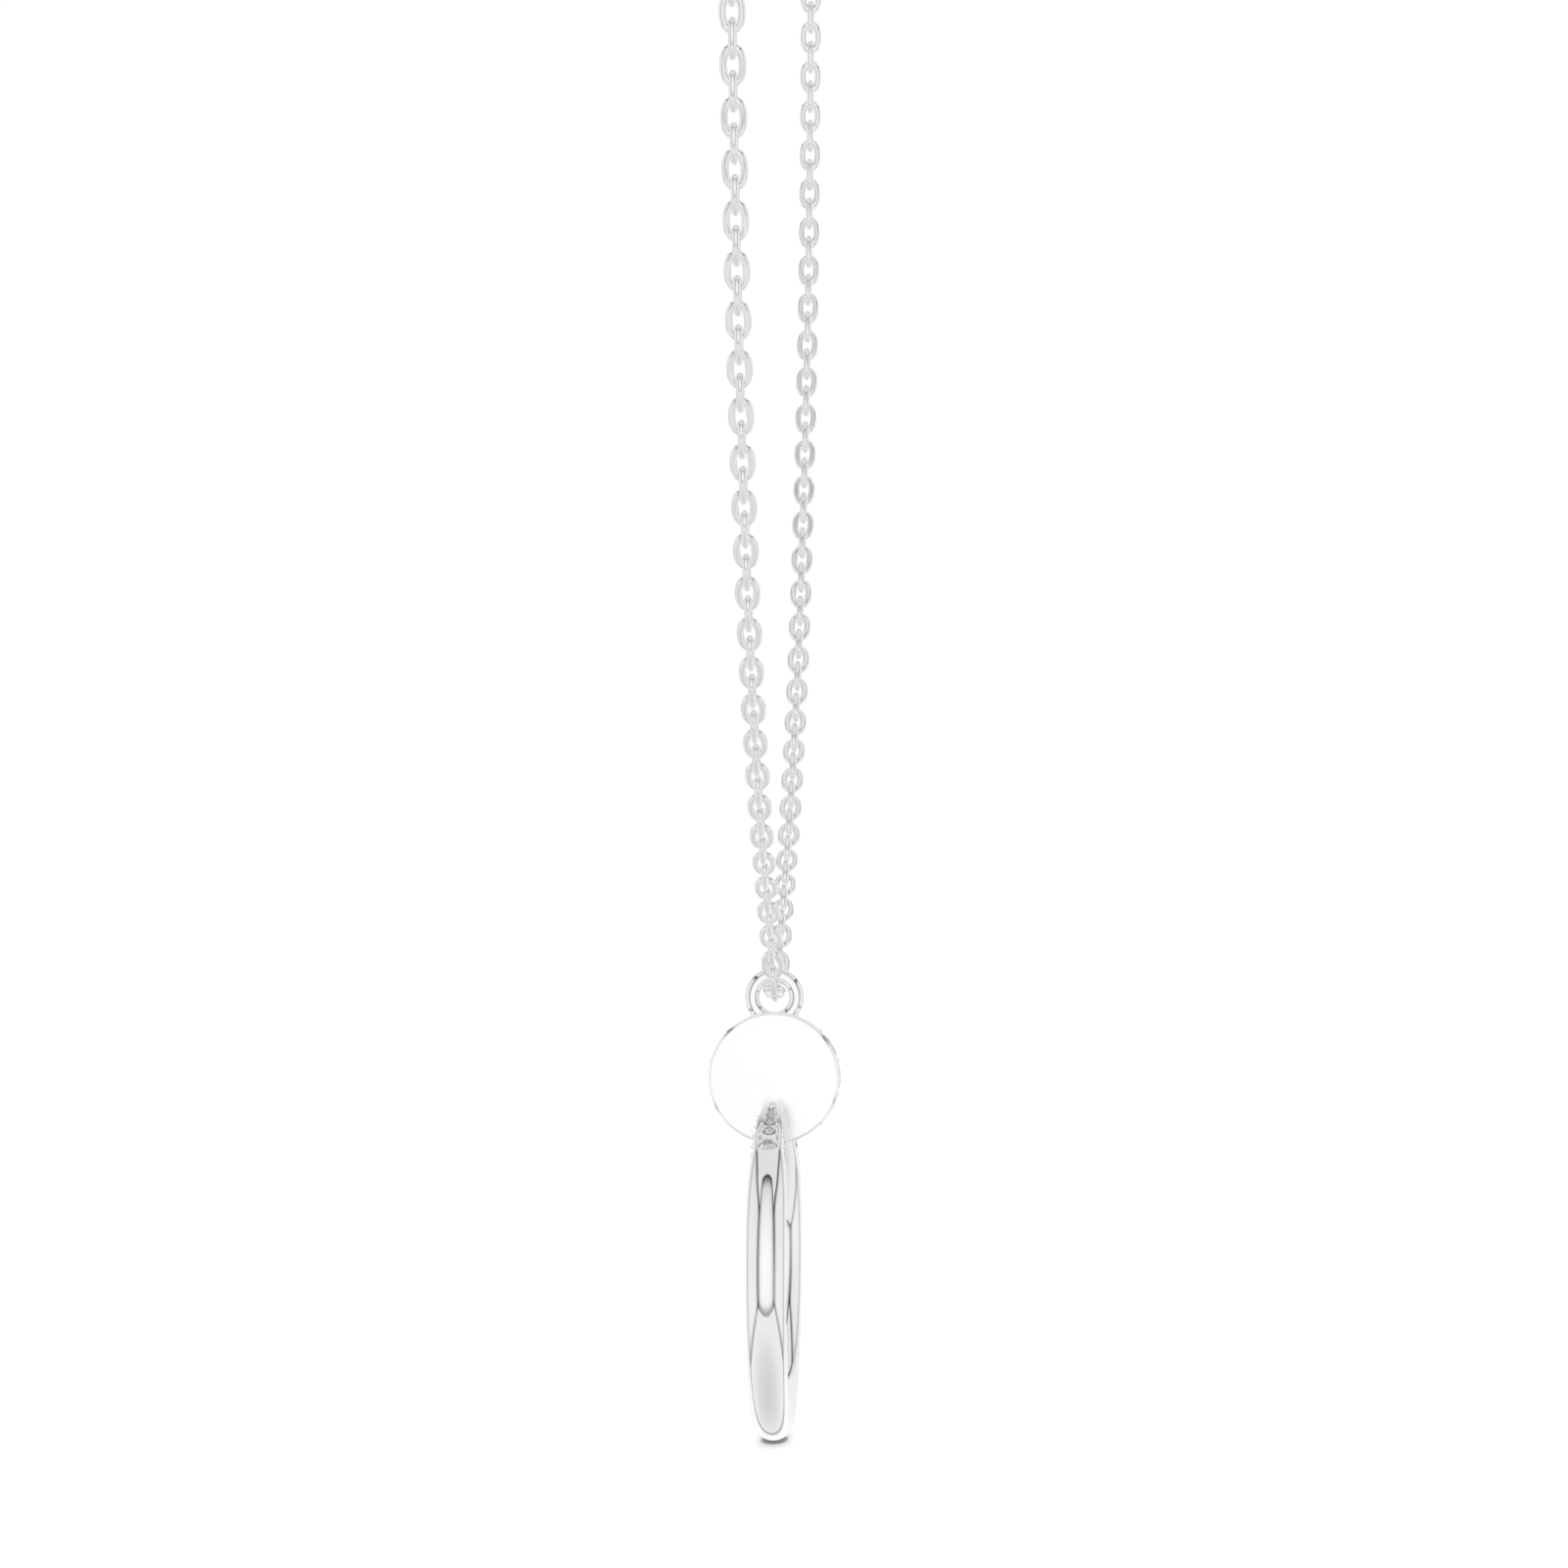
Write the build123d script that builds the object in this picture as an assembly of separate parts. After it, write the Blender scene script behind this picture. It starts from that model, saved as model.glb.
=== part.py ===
from build123d import *
from math import acos, asin, atan, cos, degrees, pi, radians, sin, tan
import os

# A hoop pendant on a neck chain. A round-wire hoop hangs in the XZ plane, and its two ends taper
# into stone-set horns that meet the flat faces of a thick disc. The disc stands in the YZ plane at
# the top of the hoop, has stones in its edge at the front and the back, and carries a round loop
# through which the chain passes. The origin is the middle of the clasp, where the chain lies on
# the back of the neck. X is the axis of the disc, front is -Y and Z is up.
# Lengths are in millimetres and angles in degrees.

# Hoop
hoop_radius = 10.0
hoop_wire = 2.5
hoop_drop = 11.53

# Disc and its bevelled edge
disc_radius = 4.15
disc_thickness = 1.9
disc_bevel = 0.2

# Loop for the chain, soldered to the top of the disc
loop_hole_radius = 0.907
loop_wire = 0.97
loop_sink = 0.017

# Tapered horns, from their tips in the disc to their roots on the round wire
horn_root_angle = 72.0
horn_embed = 0.25
least_flat_turn = 25.0
channel_end_step = 0.012
flat_crown = 0.01

# Stones, their seats and the beads that hold them
table_share = 0.57
crown_angle = 34.5
star_angle = 21.0
upper_girdle_angle = 43.5
pavilion_angle = 37.0
lower_girdle_angle = 39.0
girdle_share = 0.03
seat_clearance = 0.025
bead_radius = 0.11
bead_proud = 0.14
bead_rim_gap = 0.055
disc_stone_diameter = 1.45
disc_stone_step = 30.0
disc_stone_depth = 0.22
disc_bead_radius = 0.125
disc_bead_proud = 0.08
disc_bead_place = 0.6

# Chain: the tube that stands for its links, and its clasp
chain_diameter = 1.2
chain_rise = 0.2
clasp_radius = 2.1
clasp_wire = 1.1
clasp_gap = 0.1
clasp_nub_radius = 0.4
clasp_nub_length = 1.0

# Route of one half of the chain, from beside the loop up to the neck: distance from the middle,
# height above the lowest point
chain_route = [
    (1.1, 0.0),
    (3.3, 1.3),
    (8.3, 4.4),
    (16.0, 10.2),
    (25.9, 20.2),
    (35.4, 34.3),
    (42.1, 50.8),
    (44.9, 67.0),
    (45.9, 92.0),
    (45.9, 119.0),
    (45.0, 145.0),
    (39.6, 160.0),
    (29.4, 172.2),
    (15.6, 180.2),
]
chain_top = 182.4

# Horn cross-sections: place from tip to root, radius of the tapered wire, height of the outer
# flat and of the two side flats above the wire's middle, which end where they reach the radius
horn_sections = [
    {"place": 0.0, "radius": 0.467, "outer": 0.33, "side": 0.445},
    {"place": 0.222, "radius": 0.67, "outer": 0.371, "side": 0.636},
    {"place": 0.362, "radius": 0.84, "outer": 0.444, "side": 0.797},
    {"place": 0.46, "radius": 0.95, "outer": 0.555, "side": 0.90},
    {"place": 0.544, "radius": 1.04, "outer": 0.688, "side": 0.985},
    {"place": 0.595, "radius": 1.085, "outer": 0.85, "side": 1.03},
    {"place": 0.666, "radius": 1.14, "outer": 1.14, "side": 1.10},
    {"place": 0.757, "radius": 1.19, "outer": 1.19, "side": 1.19},
    {"place": 0.87, "radius": 1.235, "outer": 1.235, "side": 1.235},
    {"place": 1.0, "radius": hoop_wire / 2, "outer": hoop_wire / 2, "side": hoop_wire / 2},
]

# Channels from their narrow ends to their round ends: place along the horn, half of the width,
# height of the floor above the wire's middle
outer_channel = [
    {"place": 0.147, "half": 0.17, "height": 0.257},
    {"place": 0.362, "half": 0.44, "height": 0.344},
    {"place": 0.478, "half": 0.59, "height": 0.46},
    {"place": 0.582, "half": 0.59, "height": 0.49},
]
side_channel = [
    {"place": 0.26, "half": 0.2, "height": 0.6},
    {"place": 0.503, "half": 0.37, "height": 0.85},
    {"place": 0.612, "half": 0.4, "height": 0.94},
]

# Stones along each channel: place from tip to root, share of the channel's width that they fill,
# how far the stone leans over towards the root
outer_stones = [
    {"place": 0.57, "fill": 0.88, "lean": 12.0},
    {"place": 0.453, "fill": 0.7, "lean": 0.0},
    {"place": 0.371, "fill": 0.8, "lean": 0.0},
    {"place": 0.297, "fill": 0.84, "lean": 0.0},
    {"place": 0.228, "fill": 0.88, "lean": 0.0},
]
side_stones = [
    {"place": 0.612, "fill": 0.92, "lean": 0.0},
    {"place": 0.523, "fill": 0.9, "lean": 0.0},
    {"place": 0.442, "fill": 0.9, "lean": 0.0},
    {"place": 0.371, "fill": 0.9, "lean": 0.0},
    {"place": 0.308, "fill": 0.92, "lean": 0.0},
]

# The sides of a horn: turn about the horn's axis, column of its flat, its channel and its stones
horn_sides = {
    "outer": {"turn": 0, "flat": "outer", "channel": outer_channel, "stones": outer_stones},
    "front": {"turn": 90, "flat": "side", "channel": side_channel, "stones": side_stones},
    "back": {"turn": -90, "flat": "side", "channel": side_channel, "stones": side_stones},
}

# Heights of the pendant's centres, worked out down from the clasp
loop_mean_radius = loop_hole_radius + loop_wire / 2
loop_height = disc_radius + loop_hole_radius - loop_sink
loop_centre = Vector(0, 0, -chain_top - chain_rise)
disc_centre = loop_centre - Vector(0, 0, loop_height)
hoop_centre = disc_centre - Vector(0, 0, hoop_drop)
horn_tip_angle = degrees(asin((disc_thickness / 2 - horn_embed) / hoop_radius))
horn_length = radians(horn_root_angle - horn_tip_angle) * hoop_radius


def horn_angle(place):
    """Angle from the top of the hoop of a place along the horn."""
    return horn_tip_angle + place * (horn_root_angle - horn_tip_angle)


def read_row(rows, place, column):
    """Value of a column at a place, read between the rows of a table."""
    for low, high in zip(rows, rows[1:]):
        if place <= high["place"]:
            break
    share = (place - low["place"]) / (high["place"] - low["place"])
    return low[column] + share * (high[column] - low[column])


def horn_plane(place, turn=0):
    """Plane across the horn, its x pointing outward: turn 0 is outer, 90 front and -90 back."""
    angle = radians(horn_angle(place))
    outward = Vector(sin(angle), 0, cos(angle))
    along = Vector(cos(angle), 0, -sin(angle))
    plane = Plane(hoop_centre + outward * hoop_radius, x_dir=outward, z_dir=along)
    return Plane(plane.location * Rot(0, 0, turn))


def floor_plane(place, side, offset=0.0, lean=0.0):
    """Plane on the floor of a side's channel, its z pointing out, leant towards the root."""
    across = horn_plane(place, side["turn"])
    step = 0.01
    high = read_row(side["channel"], place + step, "height")
    low = read_row(side["channel"], place - step, "height")
    tilt = atan((high - low) / (2 * step * horn_length)) - radians(lean)
    normal = across.x_dir * cos(tilt) - across.z_dir * sin(tilt)
    height = read_row(side["channel"], place, "height")
    origin = across.origin + across.x_dir * height + across.y_dir * offset
    return Plane(origin, x_dir=across.y_dir, z_dir=normal)


def on_wire(radius, turn):
    """Point of a horn's outline at a turn from its outer side."""
    return (radius * cos(radians(turn)), radius * sin(radians(turn)))


def horn_section(place, radius, outer, side):
    """Closed outline of arcs: the wire's round, with nearly flat arcs on three of its sides."""
    outer_turn = max(degrees(acos(min(outer / radius, 1))), least_flat_turn)
    side_turn = max(degrees(acos(min(side / radius, 1))), least_flat_turn)
    crown = flat_crown * radius
    outer_height = min(outer + crown, radius)
    side_height = min(side + crown, radius)
    corner_turn = (outer_turn + 90 - side_turn) / 2
    ends = [-outer_turn, outer_turn, 90 - side_turn, 90 + side_turn, 270 - side_turn, 270 + side_turn]
    middles = [
        (outer_height, 0),
        on_wire(radius, corner_turn),
        (0, side_height),
        (-radius, 0),
        (0, -side_height),
        on_wire(radius, -corner_turn),
    ]
    outline = []
    for index, middle in enumerate(middles):
        last = ends[(index + 1) % len(ends)]
        outline.append(ThreePointArc(on_wire(radius, ends[index]), middle, on_wire(radius, last)))
    return horn_plane(place).location * make_face(outline)


def channel(side):
    """Cutter for the channel in one side of the horn, round at both ends."""
    rows = side["channel"]
    sections = []
    for row in rows:
        outline = Rectangle(hoop_wire / 2, 2 * row["half"], align=(Align.MIN, Align.CENTER))
        plane = horn_plane(row["place"], side["turn"])
        sections.append(plane.location * (Pos(row["height"], 0) * outline))
    cutters = [loft(sections, ruled=True)]
    for row in (rows[0], rows[-1]):
        radius = row["half"] - channel_end_step
        end = Cylinder(radius, hoop_wire / 2, align=(Align.CENTER, Align.CENTER, Align.MIN))
        cutters.append(floor_plane(row["place"], side).location * end)
    return cutters


def trim(solid, azimuth, slope, radius, height):
    """Cut a facet: the plane through radius and height, at a slope, that faces the azimuth."""
    turn = radians(azimuth)
    tilt = radians(slope)
    outward = Vector(cos(turn), sin(turn), 0)
    normal = outward * sin(tilt) + Vector(0, 0, cos(tilt))
    origin = outward * radius + Vector(0, 0, height)
    return split(solid, Plane(origin, z_dir=normal), keep=Keep.BOTTOM)


def unit_stone():
    """Round cut stone of diameter 1, its girdle at z = 0 and its table facing up."""
    crown_height = (0.5 - table_share / 2) * tan(radians(crown_angle))
    depth = 0.5 * tan(radians(pavilion_angle))
    girdle = girdle_share / 2
    height = crown_height + depth + 2 * girdle
    stone = Pos(0, 0, -depth - girdle) * Cylinder(
        0.5, height, align=(Align.CENTER, Align.CENTER, Align.MIN))
    for index in range(8):
        azimuth = 45 * index
        star_radius = table_share / 2 * cos(radians(22.5))
        stone = trim(stone, azimuth, crown_angle, 0.5, girdle)
        stone = trim(stone, azimuth + 22.5, star_angle, star_radius, crown_height + girdle)
        stone = trim(stone, azimuth, 180 - pavilion_angle, 0.5, -girdle)
    half_step = 11.25
    for index in range(16):
        azimuth = half_step + 22.5 * index
        chord = 0.5 * cos(radians(half_step))
        stone = trim(stone, azimuth, upper_girdle_angle, chord, girdle)
        stone = trim(stone, azimuth, 180 - lower_girdle_angle, chord, -girdle)
    return stone


def turned(outline):
    """Solid of revolution about Z of a closed outline in the XZ plane."""
    return revolve(make_face(outline), Axis.Z)


def seat(diameter):
    """Cutter for a stone's seat: an open mouth above the girdle and a cone below it."""
    radius = diameter / 2 + seat_clearance
    mouth_low = -diameter * girdle_share / 2 - seat_clearance
    point = mouth_low - radius * tan(radians(lower_girdle_angle))
    corners = [(0, 0, point), (radius, 0, mouth_low), (radius, 0, diameter), (0, 0, diameter)]
    return turned(Polyline(*corners, close=True))


def bead(radius, height):
    """Round-headed post that holds a stone's edge, from a little below the floor to its height."""
    neck = height - radius
    side = Polyline((0, 0, neck + radius), (0, 0, -radius), (radius, 0, -radius), (radius, 0, neck))
    head = ThreePointArc(
        (radius, 0, neck), (radius * cos(pi / 4), 0, neck + radius * sin(pi / 4)), (0, 0, height))
    return turned(side + head)


def horn_stones(side):
    """Place, diameter and lean of each stone in one side's channel."""
    rows = []
    for row in side["stones"]:
        width = 2 * read_row(side["channel"], row["place"], "half")
        rows.append({"place": row["place"], "diameter": row["fill"] * width, "lean": row["lean"]})
    return rows


def stone_plane(side, place, diameter, lean):
    """Plane of a stone's girdle, a little above the floor on which it is set."""
    return floor_plane(place, side, lean=lean).offset(diameter * girdle_share)


def horn_beads(side):
    """A pair of beads half sunk in the rims by each gap between stones and past the last stone."""
    rows = horn_stones(side)
    places = []
    for row, following in zip(rows, rows[1:]):
        low_edge = row["place"] - row["diameter"] / 2 / horn_length
        high_edge = following["place"] + following["diameter"] / 2 / horn_length
        places.append((low_edge + high_edge) / 2)
    places.append(rows[-1]["place"] - 0.8 * rows[-1]["diameter"] / 2 / horn_length)
    beads = []
    for place in places:
        offset = read_row(side["channel"], place, "half") - bead_rim_gap
        floor = read_row(side["channel"], place, "height")
        depth = read_row(horn_sections, place, side["flat"]) - floor
        for across in (-offset, offset):
            spot = floor_plane(place, side, across)
            beads.append(spot.location * bead(bead_radius, depth + bead_proud))
    return beads


def horn():
    """The horn on the +X side, with its channels, seats and beads."""
    body = loft([horn_section(**row) for row in horn_sections], ruled=True)
    seats = []
    beads = []
    for side in horn_sides.values():
        for cutter in channel(side):
            body = body - cutter
        beads += horn_beads(side)
        for row in horn_stones(side):
            seats.append(stone_plane(side, **row).location * seat(row["diameter"]))
    return (body - seats) + beads


def disc_plane(angle, depth):
    """Plane facing out of the disc's edge, at an angle from +Y and a depth below the edge."""
    outward = Vector(0, cos(radians(angle)), sin(radians(angle)))
    return Plane(disc_centre + outward * (disc_radius - depth), x_dir=(1, 0, 0), z_dir=outward)


def disc_stone_angles():
    """Angles of the stones in the disc's edge, by their names."""
    angles = {}
    for side, middle in (("back", 0), ("front", 180)):
        for index in range(3):
            angles[f"disc_{side}_stone_{index + 1}"] = middle + (index - 1) * disc_stone_step
    return angles


def disc():
    """The disc with its bevels, the seats in its edge and the beads between them."""
    blank = Cylinder(disc_radius, disc_thickness, rotation=(0, 90, 0))
    body = Pos(disc_centre) * chamfer(blank.edges().filter_by(GeomType.CIRCLE), disc_bevel)
    cutters = []
    beads = []
    for angle in disc_stone_angles().values():
        spot = disc_plane(angle, disc_stone_depth)
        cutters.append(spot.location * seat(disc_stone_diameter))
    for middle in (0, 180):
        for step in (-1.5, -0.5, 0.5, 1.5):
            spot = disc_plane(middle + step * disc_stone_step, disc_bead_radius)
            for side in (-1, 1):
                post = bead(disc_bead_radius, disc_bead_radius + disc_bead_proud)
                offset = side * disc_bead_place * disc_thickness / 2
                beads.append(spot.location * (Pos(offset, 0, 0) * post))
    return (body - cutters) + beads


def loop():
    """The round loop on top of the disc."""
    return Pos(loop_centre) * Torus(loop_mean_radius, loop_wire / 2, rotation=(0, 90, 0))


def hoop():
    """The round part of the hoop, from one horn's root round the bottom to the other's."""
    start = horn_plane(1.0)
    sketch = start.location * Circle(hoop_wire / 2)
    turn = 360 - 2 * horn_root_angle
    return revolve(sketch, Axis(hoop_centre, (0, 1, 0)), turn)


def pendant_frame():
    """All soldered metal of the pendant as one solid."""
    right_horn = horn()
    left_horn = mirror(right_horn, Plane.YZ)
    return hoop() + [right_horn, left_horn, disc(), loop()]


def stones():
    """Every stone in its seat, by name."""
    unit = unit_stone()
    placed = {}
    for name, angle in disc_stone_angles().items():
        placed[name] = disc_plane(angle, disc_stone_depth).location * scale(unit, disc_stone_diameter)
    for face, side in horn_sides.items():
        for index, row in enumerate(horn_stones(side)):
            right = stone_plane(side, **row).location * scale(unit, row["diameter"])
            placed[f"right_{face}_stone_{index + 1}"] = right
            placed[f"left_{face}_stone_{index + 1}"] = mirror(right, Plane.YZ)
    return placed


def chain():
    """The chain as one tube of its real length, from one side of the clasp round to the other."""
    end = (clasp_radius + clasp_wire / 2 + clasp_gap, chain_top)
    right = [Vector(x, 0, z - chain_top) for x, z in chain_route + [end]]
    left = [Vector(-point.X, 0, point.Z) for point in reversed(right)]
    points = left + right
    radii = []
    for before, corner, after in zip(points, points[1:], points[2:]):
        arriving = corner - before
        leaving = after - corner
        shorter = min(arriving.length, leaving.length)
        half_turn = radians(arriving.get_angle(leaving)) / 2
        radii.append(0.45 * shorter / tan(half_turn))
    path = FilletPolyline(*points, radius=radii)
    section = Plane(path @ 0, z_dir=path % 0) * Circle(chain_diameter / 2)
    tube = sweep(section, path)
    expected = path.length * pi * chain_diameter ** 2 / 4
    print("chain radii", [round(radius, 1) for radius in radii])
    print("chain length", round(path.length, 1), "volume share", round(tube.volume / expected, 4))
    return tube


def clasp():
    """Plain spring ring that joins the chain's ends behind the neck, with its thumb nub."""
    ring = Torus(clasp_radius, clasp_wire / 2, rotation=(90, 0, 0))
    length = clasp_wire / 2 + clasp_nub_length
    nub = Cylinder(clasp_nub_radius, length, align=(Align.CENTER, Align.CENTER, Align.MIN))
    return ring + Rot(0, 50, 0) * (Pos(0, 0, clasp_radius) * nub)


parts = {"pendant_frame": pendant_frame(), "chain": chain(), "clasp": clasp(), **stones()}
os.makedirs("parts", exist_ok=True)
for name, solid in parts.items():
    export_step(solid, f"parts/{name}.step")
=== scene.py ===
"""Looks for a hoop pendant on its neck chain: links, metal, stones, pale studio and camera."""

import math

import bpy
import numpy as np
from mathutils import Matrix, Vector


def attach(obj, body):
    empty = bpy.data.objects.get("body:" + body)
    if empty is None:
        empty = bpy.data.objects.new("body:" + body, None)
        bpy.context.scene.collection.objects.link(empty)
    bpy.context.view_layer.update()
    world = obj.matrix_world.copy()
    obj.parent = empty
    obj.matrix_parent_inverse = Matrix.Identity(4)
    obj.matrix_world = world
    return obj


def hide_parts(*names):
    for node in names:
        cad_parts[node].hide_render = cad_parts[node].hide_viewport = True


bl_info = {
    "name": "Hoop pendant necklace",
    "blender": (4, 5, 0),
    "version": (1, 0, 0),
    "location": "3D View > Sidebar > Necklace",
    "description": "Dresses a hoop pendant and its chain, and sets up their studio",
    "category": "Object",
}

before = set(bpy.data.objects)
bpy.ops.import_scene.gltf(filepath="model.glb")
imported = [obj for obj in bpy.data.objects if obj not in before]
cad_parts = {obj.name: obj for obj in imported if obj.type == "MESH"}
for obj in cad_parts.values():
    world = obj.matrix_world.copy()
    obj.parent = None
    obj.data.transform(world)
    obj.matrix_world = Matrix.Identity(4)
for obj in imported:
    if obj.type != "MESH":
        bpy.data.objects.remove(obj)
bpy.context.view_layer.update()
MM = 0.001

# Places and sizes of the metal, in millimetres and degrees
LOOP_HEIGHT = -182.6
DISC_HEIGHT = -187.64
HOOP_HEIGHT = -199.17
FLOOR_HEIGHT = -210.42
HOOP_RADIUS = 10.0
HOOP_WIRE = 2.5
TIP_ANGLE = 4.014
ROOT_ANGLE = 72.0
HORN_LENGTH = math.radians(ROOT_ANGLE - TIP_ANGLE) * HOOP_RADIUS
SEAT_CLEARANCE = 0.025
SEAT_SLOPE = 39
BEAD_RADIUS = 0.11
BEAD_PROUD = 0.14
BEAD_RIM_GAP = 0.055
BEAD_FOOT = -0.06
DISC_RADIUS = 4.15
DISC_THICKNESS = 1.9
DISC_BEVEL = 0.16
DISC_EDGE_ROUND = 0.035
DISC_STONE = 1.45
DISC_SEAT_DEPTH = 0.27
DISC_STONE_STEP = 30.0
DISC_BEAD_ASIDE = 0.57
DISC_BEAD_DEPTH = 0.125
DISC_BEAD_HEIGHT = 0.205
LOOP_RADIUS = 1.392
LOOP_WIRE = 0.97
JUMP_RING_RADIUS = 1.08
JUMP_RING_WIRE = 0.48
JUMP_RING_ASIDE = 2.36
JUMP_RING_DROP = 0.02
JUMP_RING_LEAN = 5
FLOOR_GAP = 0.02

# Finish of the metal's edges: half of a channel wall's slant, softness of a flat's edge, round of a
# tip, crown of a flat as a share of the wire's radius, least rim beside a channel, and depth down to
# which a cut edge counts as rim
WALL_SLANT = 0.012
EDGE_SOFTNESS = 0.03
TIP_ROUND = 0.09
FLAT_CROWN = 0.01
LEAST_RIM = 2.2 * WALL_SLANT
RIM_DEPTH = 0.012

# Places along a horn where its carving and its painted edge shade lines end, the stretch over which
# the painted lines fade, and how dark they are
CARVING_END = 0.75
PAINTED_EDGE_SHADE_END = 0.6
PAINTED_EDGE_SHADE_FADE = 0.15
PAINTED_EDGE_SHADE_DEPTH = 0.4

# Points across the inner face, a channel's floor, a rim and an edge of a horn's outline
INNER_POINTS = 25
FLOOR_POINTS = 29
RIM_POINTS = 5
EDGE_POINTS = 11

# Rings of half of the hoop, in degrees: their distances from the tip, and then stretches as (first
# angle, last angle, number of rings)
TIP_RINGS = (0, 0.03, 0.09, 0.17, 0.28, 0.4)
HOOP_STRETCHES = ((4.6, 11, 10), (11, 53, 159), (53, ROOT_ANGLE, 33), (ROOT_ANGLE, 180, 75))

# Half of the stretch of the disc's edge that holds stones, in degrees, and the number of rings there
# and on a plain stretch
SEATED_STRETCH = 50
SEATED_RINGS = 181
PLAIN_RINGS = 60

# Horn sections from tip to root: place as a share of the horn's length, radius of the wire, and
# heights of the outer and side flats
HORN_SECTIONS = (
    (0.0, 0.467, 0.33, 0.445), (0.222, 0.67, 0.371, 0.636), (0.362, 0.84, 0.444, 0.797),
    (0.46, 0.95, 0.555, 0.90), (0.544, 1.04, 0.688, 0.985), (0.595, 1.085, 0.85, 1.03),
    (0.666, 1.14, 1.14, 1.10), (0.757, 1.19, 1.19, 1.19), (0.87, 1.235, 1.235, 1.235),
    (1.0, 1.25, 1.25, 1.25))
LEAST_FLAT_TURN = 25.0
LAST_BEAD_STEP = 0.8

# Sides of a horn: its channel as (place, half width, height of the floor), and its stones as
# (place, share of the width, lean)
OUTER_SIDE = {
    "flat": 0,
    "channel": ((0.147, 0.17, 0.257), (0.362, 0.44, 0.344), (0.478, 0.59, 0.46), (0.582, 0.59, 0.49)),
    "stones": ((0.57, 0.88, 12), (0.453, 0.7, 0), (0.371, 0.8, 0), (0.297, 0.84, 0), (0.228, 0.88, 0)),
}
FLANK_SIDE = {
    "flat": 1,
    "channel": ((0.26, 0.2, 0.6), (0.503, 0.37, 0.85), (0.612, 0.4, 0.94)),
    "stones": ((0.612, 0.92, 0), (0.523, 0.9, 0), (0.442, 0.9, 0), (0.371, 0.9, 0), (0.308, 0.92, 0)),
}

# Route of one half of the chain, in millimetres: distance from the middle, height above the lowest
# point
CHAIN_ROUTE = (
    (0.85, 0.2),
    (2.2, 2.3),
    (7.6, 5.8),
    (15.2, 10.6),
    (25.9, 20.2),
    (35.4, 34.3),
    (42.1, 50.8),
    (44.9, 67.0),
    (45.75, 92.0),
    (45.75, 119.0),
    (45.0, 145.0),
    (39.6, 160.0),
    (29.4, 172.2),
    (15.6, 180.2),
)
CHAIN_END = (3.2, 182.33)
CHAIN_TOP = 182.4

# Powers of an oval's outline: 2 is an ellipse, and the links are a little squarer
ROUND = 2.0
LINK_OVAL = 2.25
FITTING_ROUNDS = 12

# Distances of the studio's panels from the pendant, as shares of the front and ceiling panels',
# how much taller the front panel is, and the brightness of the panels
ROOM_BACK = 0.7
ROOM_RIGHT = 1.19
ROOM_LEFT = 1.0
ROOM_FLOOR = 0.577
FRONT_RISE = 1.2
CEILING_LIGHT = 0.80
BACKGROUND_LIGHT = 1.02
DIFFUSE_LIFT = 1.4

# Dark gaps between the panels: how far they reach towards a panel's middle, where 1 is no reach, and
# how dark they are; the last one is their reach on the floor and the ceiling themselves
CORNER_REACH = 0.52
LEFT_CORNER_DEPTH = 0.72
BACK_CORNER_DEPTH = 0.35
FLOOR_PANEL_GAP = (0.70, 0.60)
CEILING_PANEL_GAP = (0.62, 0.92)
NARROW_REACH = 0.94


# Sizes and colours that a user would change
class ChainSettings(bpy.types.PropertyGroup):
    link_length: bpy.props.FloatProperty(
        name="Link length", description="Outer length of one oval link",
        default=2.40 * MM, min=0.5 * MM, unit="LENGTH", precision=5)
    link_width: bpy.props.FloatProperty(
        name="Link width", description="Outer width of one oval link",
        default=1.50 * MM, min=0.5 * MM, unit="LENGTH", precision=5)
    wire: bpy.props.FloatProperty(
        name="Wire", description="Diameter of the wire that the links are bent from",
        default=0.44 * MM, min=0.1 * MM, unit="LENGTH", precision=5)
    pitch: bpy.props.FloatProperty(
        name="Pitch", description="Distance from link to link, fitted to a whole number of links",
        default=1.44 * MM, min=0.5 * MM, unit="LENGTH", precision=5)
    middle_height: bpy.props.FloatProperty(
        name="Middle link height", description="Height of the link that carries the pendant",
        default=-182.24 * MM, unit="LENGTH", precision=5)
    left_aside: bpy.props.FloatProperty(
        name="Left strand aside", description="How far the left strand hangs towards the back",
        default=0.18 * MM, unit="LENGTH", precision=5)
    middle_tilt: bpy.props.FloatProperty(
        name="Middle link tilt", description="How far that link leans down to the left strand",
        default=math.radians(18), subtype="ANGLE")


class MetalSettings(bpy.types.PropertyGroup):
    colour: bpy.props.FloatVectorProperty(
        name="Metal", description="Colour of the polished white metal",
        default=(0.93, 0.93, 0.935), size=3, min=0, max=1, subtype="COLOR")
    chain_colour: bpy.props.FloatVectorProperty(
        name="Chain metal", description="Colour of the chain's white metal",
        default=(0.92, 0.92, 0.925), size=3, min=0, max=1, subtype="COLOR")
    roughness: bpy.props.FloatProperty(
        name="Roughness", description="Roughness of the hand-polished metal",
        default=0.06, min=0, max=1, subtype="FACTOR")
    chain_roughness: bpy.props.FloatProperty(
        name="Chain roughness", description="Roughness of the chain's tumbled metal",
        default=0.19, min=0, max=1, subtype="FACTOR")
    disc_roughness: bpy.props.FloatProperty(
        name="Disc roughness", description="Roughness of the brushed disc",
        default=0.18, min=0, max=1, subtype="FACTOR")
    # Painted light: the disc's colour is a lighter copy of the pendant's metal, so that the disc reads
    # brighter
    disc_lit_colour: bpy.props.FloatVectorProperty(
        name="Disc metal", description="Colour of the disc's metal, painted lighter than the pendant's so that it reads brighter",
        default=(0.985, 0.985, 0.985), size=3, min=0, max=1, subtype="COLOR")


class StoneSettings(bpy.types.PropertyGroup):
    colour: bpy.props.FloatVectorProperty(
        name="Stone", description="Body colour of the cut stones",
        default=(0.98, 0.985, 0.99), size=3, min=0, max=1, subtype="COLOR")


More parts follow.
